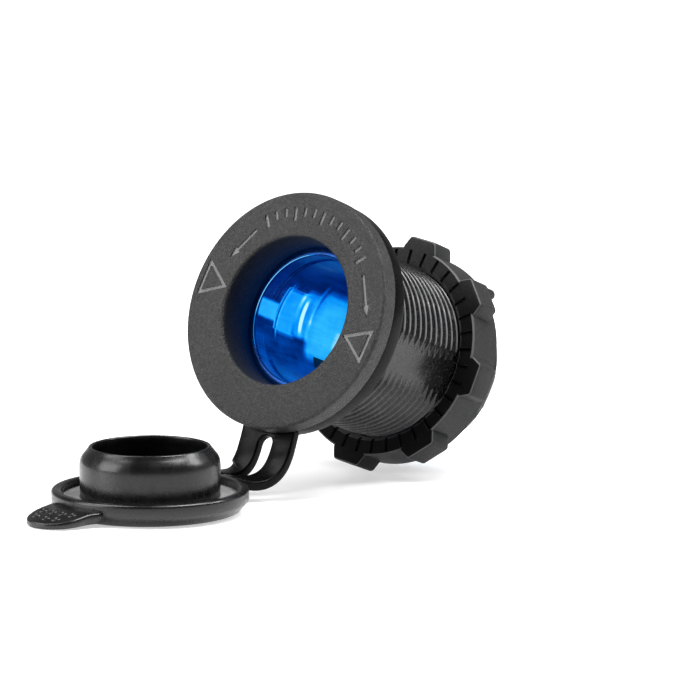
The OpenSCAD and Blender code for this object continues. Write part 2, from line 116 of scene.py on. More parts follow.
PLUG_H = 10.0
PLUG_WALL = 1.3
TAB_ROOT = 13.6
TAB_REACH = 22.8
TAB_R = 5.2
TAB_TOP = 2.25
TAB_UNDER = 0.6
TAB_TIP_TOP = 1.15
TAB_TIP_UNDER = 0.28
TAB_TURN = 9.5
STRAP_W = 10.3
STRAP_T = 1.6
SLOT_W = 2.6
SLOT_FROM_RING = 1.7
SLOT_FROM_CAP = 1.9
STRAP_POINTS = [(-0.8, -0.9, -18.0), (-1.05, -0.85, -24.75), (1.6, -3.7, -28.2)]
STRAP_PULL = 4.1
CAP_OPEN = Vector((-4.3, -21.6, -36.1))
CAP_TILT = math.radians(20.3)

# The photograph's camera in the frame of the model, in millimetres
CAMERA_AT = Vector((382.959, -492.184, -84.294))
CAMERA_BACK = Vector((0.5985, -0.79075, -0.12853))
CAMERA_UP = Vector((-0.09315, -0.22804, 0.96919))
IMAGE_SIZE = 700
FOCAL_PIXELS = 3970.66
SENSOR_MM = 36.0

# Marks on the face, as radius and clock angle
ARROW_HEAD = 1.6
ARROW_HALF = 0.7
ARROW_POINT = 0.3
ARROWS = [((15.2, -35.6), (15.0, -59.0)), ((15.4, 63.6), (16.1, 87.9))]
TRIANGLES = [
    ((12.9, -77.8), (18.0, -68.0), (18.0, -86.2)),
    ((12.9, 103.3), (18.0, 95.6), (18.0, 112.9)),
]
TICKS_FROM = -27.0
TICKS_TO = 54.0
TICK_COUNT = 13
TICK_TOP = 16.7
TICK_LONG_FOOT = 14.5
TICK_SHORT_FOOT = 15.2
LONG_TICK_EVERY = 3

# The grip nibs' places on the cap
NIBS = [
    (-6.4, -17.5), (-4.3, -17.7), (-2.2, -17.9), (-0.1, -18.1),
    (-6.1, -19.5), (-3.6, -20.1), (-1.6, -20.1),
]

# Points round a turn, steps along the strap, tab and receptacle, and how far cutters reach past a surface
TURN = 192
FINE_TURN = 288
NIB_TURN = 20
ROUTE_STEPS = 60
STRAP_STEPS = 90
TAB_STEPS = 40
SHELL_STEP = 0.6
SHELL_FINE_STEP = 0.16
SHELL_FINE_UNTIL = 22
CUT_PAST = 0.2

# The thread's run-in, run-out and rows
THREAD_ROWS_FROM = 5.75
THREAD_ROWS_UNTIL = 0.3
ROWS_A_PITCH = 12
RUN_IN = 0.6
RUN_OUT = 0.5
RUN_OUT_AT = 0.9
CREST_HALF = 0.36

# Painted tones, where light on one plain material doesn't give what the photograph shows
# A highlight painted on the floors of the face's marks
MARK_FLOOR_HIGHLIGHT = (0.2, 0.2, 0.205, 1)
# A highlight painted on some of the thread's crests
CREST_HIGHLIGHT = (0.19, 0.19, 0.195, 1)
# Shade painted on the nut's surfaces that face the front
NUT_FRONT_SHADE = (0.0012, 0.0012, 0.0012, 1)
# A highlight painted on the nut's bevelled edges
NUT_EDGE_HIGHLIGHT = (0.1, 0.1, 0.105, 1)
# A reflection painted on the cap's channel floor
CHANNEL_REFLECTION = (0.42, 0.42, 0.42, 1)
# Shade painted near black on the mouth's wall, and a painted blue glow for the lamp's light on it
MOUTH_SHADE = (0.001, 0.0015, 0.003, 1)
MOUTH_GLOW = (0.0, 0.12, 0.6, 1)

# Where crests get a painted highlight, as clock from and to, soft width and level;
# and where the barrel's skin begins
LIT_CRESTS = [(56, 84, 16, 1.0), (130, 176, 12, 0.28)]
BARREL_FROM = (5.2, 5.8)

# The table, in metres: its radius, and between which distances its glow rises from the lift to full white
TABLE_R = 4.0
TABLE_GLOW = (0.09, 0.2)
TABLE_WHITE = (0.86, 0.86, 0.865, 1)

# The table's glow near the object, the even light, and the horizon's with the heights between which it fades
FLOOR_LIFT = 0.5
EVEN_LIGHT = 0.06
HORIZON_LIGHT = 0.36
HORIZON = (0.1, 0.6)

# Where the lamps point, and lamps as name, distances right, above and toward the camera, size and power
LAMP_TARGET = Vector((0, 5, -12))
LAMPS = [
    ("front_left", -380, 170, 130, (260, 300), 1.4),
    ("top_left", -230, 420, -10, (260, 240), 1.5),
    ("top_right", 160, 430, 20, (210, 240), 2.7),
    ("right", 390, 330, -45, (80, 200), 1.3),
]


# Helpers for placing and building

def at(y):
    """Height along the barrel's axis for a distance behind the flange's face."""
    return FACE_Y + y


def polar(radius, y, clock):
    """A point round the barrel's axis, clockwise from the top as seen from the front."""
    a = math.radians(clock)
    return Vector((radius * math.sin(a), at(y), radius * math.cos(a)))


def cap_point(x, y, z):
    """A point of the open cap: z above its underside, y toward the strap."""
    c, s = math.cos(CAP_TILT), math.sin(CAP_TILT)
    return CAP_OPEN + Vector((x, y * c - z * s, y * s + z * c))


def link(name, data):
    obj = bpy.data.objects.new(name, data)
    bpy.context.scene.collection.objects.link(obj)
    return obj


def from_bmesh(name, bm, sharp=None):
    """Makes an object from a bmesh in millimetres, smooth but for edges over the given angle."""
    for v in bm.verts:
        v.co *= MM
    bmesh.ops.recalc_face_normals(bm, faces=bm.faces)
    mesh = bpy.data.meshes.new(name)
    bm.to_mesh(mesh)
    bm.free()
    shade(mesh, sharp)
    return link(name, mesh)


def shade(mesh, sharp):
    mesh.shade_smooth()
    if sharp is not None:
        mesh.set_sharp_from_angle(angle=math.radians(sharp))


def band(bm, low, high):
    """Faces between two closed loops of as many vertices."""
    count = len(low)
    for k in range(count):
        bm.faces.new((low[k], low[(k + 1) % count], high[(k + 1) % count], high[k]))


def skin(name, rows, close_rows=False, sharp=None):
    """A surface through closed rows of points."""
    bm = bmesh.new()
    verts = [[bm.verts.new(p) for p in row] for row in rows]
    n = len(rows)
    for i in range(n if close_rows else n - 1):
        band(bm, verts[i], verts[(i + 1) % n])
    return from_bmesh(name, bm, sharp)


def lathe_rows(profile, turn=TURN):
    return [[polar(r, y, 360 * k / turn) for k in range(turn)] for r, y in profile]


def arc(centre, radius, start, end, steps):
    """Points of a round stretch of a profile, in degrees from the outward direction."""
    out = []
    for i in range(steps + 1):
        a = math.radians(start + (end - start) * i / steps)
        out.append((centre[0] + radius * math.cos(a), centre[1] + radius * math.sin(a)))
    return out


def smooth_step(x):
    x = min(1.0, max(0.0, x))
    return x * x * (3 - 2 * x)


def bump_between(x, low, high, soft):
    """1 between low and high, falling to 0 over a soft width outside."""
    return smooth_step((x - low) / soft + 1) * smooth_step((high - x) / soft + 1)


def prism(bm, outline, place, depth):
    """Adds a prism: the outline's points are placed at two depths by the given function."""
    low = [bm.verts.new(place(u, v, 0.0)) for u, v in outline]
    high = [bm.verts.new(place(u, v, depth)) for u, v in outline]
    bm.faces.new(low)
    bm.faces.new(list(reversed(high)))
    for i in range(len(outline)):
        j = (i + 1) % len(outline)
        bm.faces.new((low[j], low[i], high[i], high[j]))


def block(half, low, high):
    """Outline of a rectangle about the middle line."""
    return [(-half, low), (half, low), (half, high), (-half, high)]


def add_prism_object(name, outline, place, depth):
    bm = bmesh.new()
    prism(bm, outline, place, depth)
    return from_bmesh(name, bm)


def turned(clock, height):
    """A placing function: u sideways, v outward at a clock angle, d along the axis from a height."""
    a = math.radians(clock)

    def place(u, v, d):
        x, z = u * math.cos(a) + v * math.sin(a), -u * math.sin(a) + v * math.cos(a)
        return Vector((x, at(height) + d, z))
    return place


def apply_modifiers(obj):
    graph = bpy.context.evaluated_depsgraph_get()
    mesh = bpy.data.meshes.new_from_object(obj.evaluated_get(graph))
    obj.modifiers.clear()
    obj.data = mesh


def boolean(obj, tool, operation, use_self=False):
    """Joins or cuts with another object, which is then removed."""
    m = obj.modifiers.new("cut", "BOOLEAN")
    m.operation = operation
    m.solver = "EXACT"
    m.use_self = use_self
    m.object = tool
    apply_modifiers(obj)
    bpy.data.objects.remove(tool)


def bevel(obj, width, segments=2, angle=35):
    m = obj.modifiers.new("bevel", "BEVEL")
    m.width = width * MM
    m.segments = segments
    m.limit_method = "ANGLE"
    m.angle_limit = math.radians(angle)
    apply_modifiers(obj)


def stand(obj, point, up):
    """Puts an object at a point in millimetres with its Z along a direction."""
    turn = up.to_track_quat("Z", "Y").to_matrix().to_4x4()
    obj.matrix_world = Matrix.Translation(point * MM) @ turn


def paint(obj, material):
    obj.data.materials.clear()
    obj.data.materials.append(material)


def dress(obj, material, body=None, replaces=()):
    """Gives a piece its material and its body, and hides the CAD nodes that it stands for."""
    paint(obj, material)
    if body:
        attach(obj, body)
    if replaces:
        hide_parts(*replaces)
    return obj


# Materials

class Nodes:
    """A short way to write a procedural material."""

    def __init__(self, name):
        self.material = bpy.data.materials.new(name)
        self.material.use_nodes = True
        self.tree = self.material.node_tree
        self.shader = self.tree.nodes["Principled BSDF"]
        coordinates = self.tree.nodes.new("ShaderNodeTexCoord")
        self.place = coordinates.outputs["Object"]
        self.facing = coordinates.outputs["Normal"]

    def add(self, kind, **inputs):
        node = self.tree.nodes.new(kind)
        for key, value in inputs.items():
            self.feed(node.inputs[key.replace("_", " ")], value)
        return node

    def feed(self, socket, value):
        if isinstance(value, bpy.types.NodeSocket):
            self.tree.links.new(value, socket)
        else:
            socket.default_value = value

    def noise(self, scale, detail=3.0, roughness=0.5, place=None):
        node = self.add("ShaderNodeTexNoise", Vector=place or self.place, Scale=scale, Detail=detail,
                        Roughness=roughness)
        return node.outputs["Fac"]

    def voronoi(self, scale):
        node = self.add("ShaderNodeTexVoronoi", Vector=self.place, Scale=scale)
        return node.outputs["Distance"]

    def stretch(self, x, y, z):
        node = self.add("ShaderNodeMapping", Vector=self.place, Scale=(x, y, z))
        return node.outputs["Vector"]

    def math(self, operation, a, b=0.0):
        node = self.tree.nodes.new("ShaderNodeMath")
        node.operation = operation
        self.feed(node.inputs[0], a)
        self.feed(node.inputs[1], b)
        return node.outputs[0]

    def both(self, a, b):
        """The product of two values."""
        return self.math("MULTIPLY", a, b)

    def vector(self, operation, a, b=None):
        node = self.add("ShaderNodeVectorMath", Vector=a)
        node.operation = operation
        if b is not None:
            node.inputs[1].default_value = b
        return node

    def remap(self, value, low, high, to_low, to_high):
        node = self.add("ShaderNodeMapRange", Value=value, From_Min=low, From_Max=high, To_Min=to_low,
                        To_Max=to_high)
        return node.outputs["Result"]

    def ramp(self, value, *stops):
        node = self.add("ShaderNodeValToRGB", Fac=value)
        elements = node.color_ramp.elements
        while len(elements) < len(stops):
            elements.new(0.5)
        for element, (position, colour) in zip(elements, stops):
            element.position = position
            element.color = (*colour, 1)
        return node.outputs["Color"]

    def blend(self, factor, a, b):
        node = self.tree.nodes.new("ShaderNodeMix")
        node.data_type = "RGBA"
        self.feed(node.inputs[0], factor)
        self.feed(node.inputs[6], a)
        self.feed(node.inputs[7], b)
        return node.outputs[2]

    def bump(self, height, strength, distance, normal=None):
        node = self.add("ShaderNodeBump", Height=height, Strength=strength, Distance=distance)
        if normal:
            self.feed(node.inputs["Normal"], normal)
        return node.outputs["Normal"]

    def round_axis(self):
        """Radius and depth in millimetres and clock angle in degrees, round the barrel's axis."""
        split = self.add("ShaderNodeSeparateXYZ", Vector=self.place)
        x, y, z = split.outputs
        square = self.math("ADD", self.both(x, x), self.both(z, z))
        radius = self.math("DIVIDE", self.math("SQRT", square), MM)
        depth = self.math("SUBTRACT", self.math("DIVIDE", y, MM), at(0))
        clock = self.both(self.math("ARCTAN2", x, z), 180 / math.pi)
        return radius, depth, clock

    def between(self, value, low, high, soft, level=1.0):
        """The level between two values, falling to 0 over a soft width outside them."""
        rise = self.remap(value, low - soft, low + soft * 0.2, 0.0, 1.0)
        fall = self.remap(value, high - soft * 0.2, high + soft, level, 0.0)
        return self.both(rise, fall)

    def total(self, *values):
        out = values[0]
        for value in values[1:]:
            out = self.math("ADD", out, value)
        return out

    def shine(self, level):
        self.shader.inputs["Specular IOR Level"].default_value = level

    def set(self, **inputs):
        for key, value in inputs.items():
            self.feed(self.shader.inputs[key.replace("_", " ")], value)
        return self


def grey(value):
    return (value, value, value * 1.02)


def moulded_nylon(name, base, grain, rough, shine, barrel_grain=1.0, cloudy=1.0):
    """Black moulded nylon: a fine spark-eroded grain, faint flow marks and slightly polished spots."""
    n = Nodes(name)
    fine = n.noise(4200, 2.0, 0.6)
    patchy = n.noise(1500, 3.0, 0.6)
    pits = n.voronoi(3800)
    cloud = n.noise(160, 4.0, 0.55)
    tone = n.total(n.both(fine, 0.4), n.both(patchy, 0.35), n.both(cloud, 0.25))
    dark, light = base * (1 - 0.75 * cloudy), base * (1 + 2 * cloudy)
    colour = n.ramp(tone, (0.36, grey(dark)), (0.5, grey(base)), (0.64, grey(light)))
    roughness = n.remap(cloud, 0.3, 0.7, rough - 0.06, rough + 0.08)
    n.radius, n.depth, n.clock = n.round_axis()
    smooth = n.remap(n.depth, *BARREL_FROM, 1.0, barrel_grain)
    first = n.bump(pits, n.both(smooth, grain), 0.0001)
    second = n.bump(fine, n.both(smooth, grain * 0.8), 0.00007, first)
    n.set(Base_Color=colour, Roughness=roughness, Normal=second, IOR=1.5)
    n.shine(shine)
    return n, colour, roughness


def body_nylon(name):
    """The body's nylon: a grained face with a highlight painted on its marks' floors, a glossier thread
    with a highlight painted on some of its crests, and a mouth in painted shade and painted blue lamp light."""
    n, colour, roughness = moulded_nylon(name, 0.014, 1.0, 0.46, 0.34, 0.07)
    # A highlight is painted on the floors of the face's marks, just behind the face
    marked = n.between(n.depth, MARK_DEEP - 0.06, MARK_DEEP + 0.1, 0.03)
    groove_highlight = n.both(marked, n.between(n.radius, 12.4, 18.6, 0.1))
    colour = n.blend(groove_highlight, colour, MARK_FLOOR_HIGHLIGHT)
    # Shade is painted near black on the mouth's wall
    within = n.remap(n.radius, MOUTH_R + 0.1, MOUTH_R + 0.5, 1.0, 0.0)
    inside = n.both(within, n.remap(n.depth, 0.3, 0.8, 0.0, 1.0))
    colour = n.blend(inside, colour, MOUTH_SHADE)
    barrel = n.remap(n.depth, *BARREL_FROM, 0.0, 1.0)
    # A highlight is painted on the thread's crests between the listed clocks
    lit = n.total(*[n.between(n.clock, *stretch) for stretch in LIT_CRESTS])
    crest_highlight = n.both(n.remap(n.radius, BARREL_R - 0.2, BARREL_R - 0.08, 0.0, 1.0), lit)
    colour = n.blend(n.both(crest_highlight, barrel), colour, CREST_HIGHLIGHT)
    roughness = n.math("SUBTRACT", roughness, n.both(barrel, 0.24))
    roughness = n.math("ADD", roughness, n.both(inside, 0.3))
    # The mouth's wall also gets a painted blue glow for the lamp's light, stronger deeper in
    n.set(Base_Color=colour, Roughness=roughness, Emission_Color=MOUTH_GLOW)
    n.set(Emission_Strength=n.both(n.both(inside, n.remap(n.depth, 1.5, 5.0, 0.2, 1.0)), 0.05))
    return n.material


def nut_nylon(name):
    """The nut's nylon: painted shade near black on surfaces that face the front, less of it toward the top,
    satin sides, and a painted highlight on the edges between.
    """
    n, colour, roughness = moulded_nylon(name, 0.026, 0.3, 0.5, 0.12, cloudy=0.3)
    facing = n.add("ShaderNodeSeparateXYZ", Vector=n.facing).outputs[1]
    height = n.math("DIVIDE", n.add("ShaderNodeSeparateXYZ", Vector=n.place).outputs[2], MM)
    # Shade is painted near black on surfaces that face the front, less of it toward the top
    front = n.both(n.remap(facing, -0.9, -0.8, 1.0, 0.0), n.remap(height, 7.0, 14.0, 1.0, 0.35))
    # A highlight is painted on the bevels between the surfaces that face the front and the sides
    edge_highlighted = n.blend(n.between(facing, -0.78, -0.5, 0.06), colour, NUT_EDGE_HIGHLIGHT)
    n.set(Base_Color=n.blend(front, edge_highlighted, NUT_FRONT_SHADE))
    n.set(Roughness=n.math("ADD", roughness, n.both(front, 0.3)))
    return n.material


def soft_rubber(name, base=0.004, shine=0.45, painted_channel_reflection=False):
    """Soft black rubber: a satin skin with faint streaks and specks, and if asked a reflection painted pale
    on the channel floor.
    """
    n = Nodes(name)
    cloud = n.noise(240, 5.0, 0.6)
    skin_grain = n.noise(3200, 3.0, 0.6)
    streaks = n.noise(900, 3.0, 0.55, n.stretch(1.0, 1.0, 0.12))
    dust = n.noise(5200, 2.0, 0.5)
    body = n.ramp(cloud, (0.3, grey(base * 0.6)), (0.55, grey(base)), (0.8, grey(base * 2)))
    colour = n.blend(n.remap(dust, 0.7, 0.8, 0.0, 0.25), body, (*grey(0.1), 1))
    if painted_channel_reflection:
        # A reflection is painted pale on the channel floor between the plug and the rim
        away = n.vector("SUBTRACT", n.place, CAP_OPEN * MM).outputs["Vector"]
        up = n.vector("DOT_PRODUCT", away, cap_point(0, 0, 1) - cap_point(0, 0, 0))
        height = n.math("DIVIDE", up.outputs["Value"], MM)
        reach = n.math("DIVIDE", n.vector("LENGTH", away).outputs["Value"], MM)
        level = n.between(height, CHANNEL_Z - 0.12, CHANNEL_Z + 0.06, 0.08)
        floor = n.both(level, n.between(reach, PLUG_R + 0.3, CAP_R - CAP_RIM_W + 0.25, 0.15))
        colour = n.blend(n.both(floor, 0.7), colour, CHANNEL_REFLECTION)
    mixed = n.math("ADD", n.both(cloud, 0.6), n.both(streaks, 0.4))
    roughness = n.remap(mixed, 0.32, 0.68, 0.2, 0.36)
    first = n.bump(skin_grain, 0.12, 0.00005)
    second = n.bump(streaks, 0.15, 0.0001, first)
    n.set(Base_Color=colour, Roughness=roughness, Normal=second, IOR=1.5)
    n.shine(shine)
    return n.material


def plated_metal(name, colour, rough, scale=1500):
    """Plated sheet metal with fine drawing lines and dull spots."""
    n = Nodes(name)
    lines = n.noise(scale, 4.0, 0.6, n.stretch(1.0, 0.1, 1.0))
    spots = n.noise(700, 3.0, 0.5)
    low, high = [c * 0.72 for c in colour], [min(1.0, c * 1.12) for c in colour]
    tone = n.ramp(spots, (0.3, low), (0.5, colour), (0.75, high))
    roughness = n.remap(lines, 0.3, 0.7, rough - 0.07, rough + 0.1)
    n.set(Base_Color=tone, Metallic=1.0, Roughness=roughness, Normal=n.bump(lines, 0.12, 0.00005))
    return n.material


def lit_metal(name):
    """The receptacle's plated metal in blue light: emission laid out in patches by clock and depth."""
    n = Nodes(name)
    radius, depth, clock = n.round_axis()
    drawn = n.noise(900, 4.0, 0.6, n.stretch(1.0, 0.12, 1.0))
    cloud = n.noise(260, 4.0, 0.6)
    slant = n.math("ADD", depth, n.both(n.math("ADD", clock, 77.0), 0.03))
    lower = n.between(clock, -150, -100, 25, 0.1)
    base = n.total(n.remap(clock, -60, 20, 0.13, 0.05), lower)

    def patch(clock_from, clock_to, soft, low, high, edge, level, along=depth):
        """Light between two clocks and two depths, each with its soft width."""
        spread = n.between(clock, clock_from, clock_to, soft)
        return n.both(spread, n.between(along, low, high, edge, level))

    glow = n.total(
        base,
        patch(-89, -75, 2.5, 6.8, 11.6, 0.4, 0.56, slant),
        patch(-99, -56, 7, 12.15, 12.4, 0.25, 0.48),
        patch(-93, -56, 7, 12.9, 13.1, 0.25, 0.34),
        patch(-96, -60, 5, 13.2, 17.0, 0.8, 0.47),
        patch(-94, -54, 5, 17.4, 20.2, 0.7, 0.42, slant),
        patch(-86, -68, 9, 18.5, 19.1, 0.3, 0.72, slant),
        patch(-80, -46, 8, 20.4, 20.8, 0.4, 0.3, slant),
        patch(-107, -50, 9, 21.0, 30.0, 1.2, 0.45),
        patch(-96, -60, 12, 22.5, 34.0, 2.5, 0.16),
        patch(-106, -80, 6, 28.5, 34.0, 1.0, 0.12),
        n.remap(cloud, 0.3, 0.75, -0.05, 0.08),
        n.remap(drawn, 0.35, 0.7, -0.03, 0.05),
    )
    wall = n.both(n.remap(radius, 10.75, 10.85, 1.0, 0.0), n.remap(depth, 6.5, 7.0, 0.0, 1.0))
    wall = n.math("MAXIMUM", wall, n.remap(depth, 8.5, 9.0, 0.0, 1.0))
    rim = n.both(n.between(radius, 10.57, 10.64, 0.02), n.between(depth, 6.3, 6.55, 0.08))
    arcs = n.total(n.between(clock, -80, -12, 12, 0.88), n.between(clock, -118, -85, 8, 0.55))
    light = n.ramp(
        n.math("ADD", n.both(glow, wall), n.both(rim, arcs)),
        (0.0, (0.0, 0.002, 0.012)),
        (0.2, (0.0, 0.018, 0.15)),
        (0.42, (0.0, 0.09, 0.55)),
        (0.6, (0.002, 0.3, 0.92)),
        (0.82, (0.03, 0.52, 1.0)),
        (1.0, (0.5, 0.92, 1.0)),
    )
    roughness = n.remap(drawn, 0.3, 0.7, 0.22, 0.4)
    n.set(Base_Color=(0.01, 0.04, 0.16, 1), Metallic=1.0, Roughness=roughness)
    n.set(Normal=n.bump(drawn, 0.15, 0.00006), Emission_Color=light, Emission_Strength=1.0)
    return n.material


def laminate(name):
    """Dark laminated board with a woven trace."""
    n = Nodes(name)
    weave = n.noise(1800, 3.0, 0.6, n.stretch(1.0, 1.0, 0.2))
    cloud = n.noise(300, 3.0, 0.5)
    colour = n.ramp(cloud, (0.3, grey(0.02)), (0.7, grey(0.05)))
    roughness = n.remap(weave, 0.3, 0.7, 0.4, 0.6)
    n.set(Base_Color=colour, Roughness=roughness, Normal=n.bump(weave, 0.3, 0.00008))
    return n.material


def pressed_fibre(name):
    """Brown pressed fibre."""
    n = Nodes(name)
    fibres = n.noise(2600, 5.0, 0.7, n.stretch(1.0, 1.0, 0.3))
    colour = n.ramp(fibres, (0.3, (0.2, 0.1, 0.05)), (0.5, (0.33, 0.2, 0.11)), (0.75, (0.46, 0.31, 0.19)))
    n.set(Base_Color=colour, Roughness=n.remap(fibres, 0.3, 0.7, 0.65, 0.85))
    n.set(Normal=n.bump(fibres, 0.4, 0.00008))
    return n.material


def lamp_lens(name):
    """Clear epoxy glowing blue, whiter at its heart."""
    n = Nodes(name)
    ripple = n.noise(900, 2.0, 0.5)
    light = n.ramp(ripple, (0.3, (0.1, 0.45, 1.0)), (0.7, (0.35, 0.75, 1.0)))
    n.set(Base_Color=light, Roughness=n.remap(ripple, 0.3, 0.7, 0.1, 0.25))
    n.set(Emission_Color=light, Emission_Strength=9.0)
    return n.material


def resistor_coat(name):
    """Tan lacquer with coloured bands across the resistor's body."""
    n = Nodes(name)
    split = n.add("ShaderNodeSeparateXYZ", Vector=n.place)
    bands = n.math("FRACT", n.both(split.outputs[0], 1 / (0.9 * MM)))
    ring = n.math("GREATER_THAN", bands, 0.68)
    cloud = n.noise(1200, 3.0, 0.5)
    tan = n.ramp(cloud, (0.3, (0.5, 0.38, 0.22)), (0.7, (0.66, 0.53, 0.34)))
    n.set(Base_Color=n.blend(ring, tan, (0.3, 0.07, 0.03, 1)))
    n.set(Roughness=n.remap(cloud, 0.3, 0.7, 0.22, 0.4))
    n.set(Normal=n.bump(cloud, 0.2, 0.00006))
    return n.material


# The moulded socket body

def body_profile():
    """Rows of the body before and after its thread, as radius and distance behind the face."""
    lip = [(MOUTH_R - 0.2, LEDGE), (MOUTH_R - 0.1, 3.0), (MOUTH_R, 1.2)]
    lip += arc((MOUTH_R + MOUTH_LIP, MOUTH_LIP), MOUTH_LIP, 180, 270, 8)
    face = [(MOUTH_R + 2.0, 0), (MOUTH_R + 4.5, 0)]
    edge = arc((FLANGE_R - FLANGE_BEVEL, FLANGE_BEVEL), FLANGE_BEVEL, -90, 0, 6)
    side = [(FLANGE_R, 1.6), (FLANGE_R, FLANGE_T - 0.2), (FLANGE_R - 0.2, FLANGE_T)]
    rear = [(17.0, FLANGE_T), (BARREL_R, FLANGE_T), (BARREL_R, 5.6)]
    return lip + face + edge + side + rear


def thread_radius(y, clock):
    """Height of a helical thread with narrow rounded crests and wide valleys."""
    start = smooth_step((y - THREAD_START) / RUN_IN)
    end = smooth_step((BARREL_END - RUN_OUT_AT - y) / RUN_OUT)
    phase = ((y - THREAD_START) / PITCH - clock / 360) % 1.0
    height = (1 - smooth_step(abs(phase - 0.5) / CREST_HALF)) ** 0.8
    return BARREL_R - THREAD_DEPTH + THREAD_DEPTH * height * start * end


def on_flats(point):
    """Cuts a point back to the two flats on the barrel's sides."""
    for clock in (MARK_CLOCK - 90, MARK_CLOCK + 90):
        out = polar(1.0, 0.0, clock) - Vector((0, at(0), 0))
        over = point.dot(out) - FLAT_R
        if over > 0:
            point = point - out * over
    return point


def thread_rows(turn):
    rows = []
    clocks = [360 * k / turn for k in range(turn)]
    y = THREAD_ROWS_FROM
    while y < BARREL_END - THREAD_ROWS_UNTIL:
        rows.append([on_flats(polar(thread_radius(y, c), y, c)) for c in clocks])
        y += PITCH / ROWS_A_PITCH
    return rows


def rear_profile():
    root = BARREL_R - THREAD_DEPTH
    outer = [(root - 0.35, BARREL_END)]
    inner = [(PLATE_R + 0.25, BARREL_END), (PLATE_R + 0.05, BARREL_END - 0.2), (PLATE_R + 0.05, PLATE_SEAT)]
    return outer + inner + [(BORE_R, PLATE_SEAT), (BORE_R, 22.0), (BORE_R, LEDGE)]


def stroke(points, width):
    """Outline of a straight stroke between two points."""
    (x0, y0), (x1, y1) = points
    length = math.hypot(x1 - x0, y1 - y0)
    nx, ny = -(y1 - y0) / length * width / 2, (x1 - x0) / length * width / 2
    return [(x0 + nx, y0 + ny), (x0 - nx, y0 - ny), (x1 - nx, y1 - ny), (x1 + nx, y1 + ny)]


def on_face(radius, clock):
    a = math.radians(clock)
    return radius * math.sin(a), radius * math.cos(a)


def inset(points, distance):
    """An outline shrunk toward its middle until its nearest corner has moved by the distance."""
    cx = sum(p[0] for p in points) / len(points)
    cy = sum(p[1] for p in points) / len(points)
    scale = 1 - distance / min(math.hypot(p[0] - cx, p[1] - cy) for p in points)
    return [(cx + (x - cx) * scale, cy + (y - cy) * scale) for x, y in points]


def ticks():
    """The strokes of the scale on the flange's face, as two points each."""
    strokes = []
    for i in range(TICK_COUNT):
        clock = TICKS_FROM + (TICKS_TO - TICKS_FROM) * i / (TICK_COUNT - 1)
        foot = TICK_LONG_FOOT if i % LONG_TICK_EVERY == 0 else TICK_SHORT_FOOT
        strokes.append((on_face(foot, clock), on_face(TICK_TOP, clock)))
    return strokes


def arrow(tail, head):
    """A whole arrow as one outline."""
    way = math.atan2(head[1] - tail[1], head[0] - tail[0])
    c, s = math.cos(way), math.sin(way)
    half = MARK_STROKE / 2
    back = (head[0] - c * ARROW_HEAD, head[1] - s * ARROW_HEAD)
    ends = [(tail, half), (back, half), (back, ARROW_HALF)]
    left = [(x - s * w, y + c * w) for (x, y), w in ends]
    right = [(x + s * w, y - c * w) for (x, y), w in reversed(ends)]
    return left + [(head[0] + c * ARROW_POINT, head[1] + s * ARROW_POINT)] + right


def frame_prism(bm, outer, inner, place, depth):
    """A prism between two outlines of as many points."""
    lines = ((outer, 0.0), (inner, 0.0), (inner, depth), (outer, depth))
    loops = [[bm.verts.new(place(u, v, d)) for u, v in line] for line, d in lines]
    for a, b in zip(loops, loops[1:] + loops[:1]):
        band(bm, a, b)


def mark_cutter():
    """One closed solid of all the marks."""
    bm = bmesh.new()

    def place(u, v, d):
        return Vector((u, at(-CUT_PAST) + d, v))

    deep = CUT_PAST + MARK_DEEP
    for points in ticks():
        prism(bm, stroke(points, MARK_STROKE), place, deep)
    for tail, head in ARROWS:
        prism(bm, arrow(on_face(*tail), on_face(*head)), place, deep)
    for corners in TRIANGLES:
        outer = inset([on_face(r, c) for r, c in corners], -MARK_STROKE / 2)
        frame_prism(bm, outer, inset(outer, MARK_STROKE * 2), place, deep)
    return from_bmesh("mark_cutter", bm)


def build_body():
    rows = lathe_rows(body_profile(), FINE_TURN)
    rows += thread_rows(FINE_TURN)
    rows += lathe_rows(rear_profile(), FINE_TURN)
    obj = skin("socket_moulding", rows, close_rows=True, sharp=38)
    boolean(obj, mark_cutter(), "DIFFERENCE", use_self=True)
    shade(obj.data, 32)
    return obj


# The metal receptacle

def pocket_depth(y, clock):
    """How far the two stamped pockets push the wall out at a place."""
    out = 0.0
    for side in (MARK_CLOCK - 90, MARK_CLOCK + 90):
        off = abs((clock - side + 180) % 360 - 180)
        along = bump_between(y, POCKET_AT + 0.5, POCKET_AT + POCKET_LEN - 0.5, 0.5)
        out = max(out, along * bump_between(off, -1, POCKET_HALF - 1.5, 1.5))
    return out * POCKET_H


def shell_inside(y, clock):
    bead = BEAD_H * bump_between(y, BEAD_AT - 0.15, BEAD_AT + 0.15, 0.45)
    return SHELL_R + bead + pocket_depth(y, clock)


